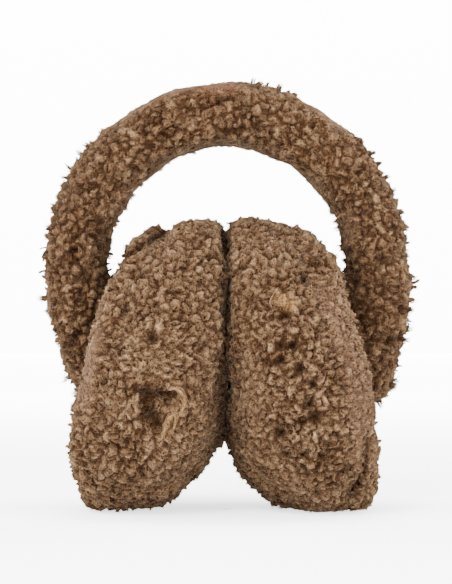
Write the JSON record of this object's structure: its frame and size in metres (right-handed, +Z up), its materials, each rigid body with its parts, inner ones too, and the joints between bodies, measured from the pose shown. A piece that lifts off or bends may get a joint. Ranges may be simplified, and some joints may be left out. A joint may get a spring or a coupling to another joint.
{
  "type": "fur earmuffs",
  "caption": "Padded ring headband in curly fleece with a plump round ear cup at each end, standing on its cups.",
  "frame": {"origin": "middle of the whole part's box, at the level that the cups stand on", "axes": "+X to the right as seen from the front, +Y away from the viewer, +Z up"},
  "size_m": [0.1566, 0.1272, 0.18],
  "materials": {
    "band_fleece": "brown curly fleece, matt, soft and deep",
    "pad_fleece": "brown curly fleece, matt, soft and deep",
    "cover_fleece": "brown curly fleece, matt, soft and deep"
  },
  "bodies": {
    "root": {"headband": "band_fleece", "left_ear_pad": "pad_fleece", "right_ear_pad": "pad_fleece", "left_outer_cover": "cover_fleece", "right_outer_cover": "cover_fleece"}
  },
  "joints": []
}
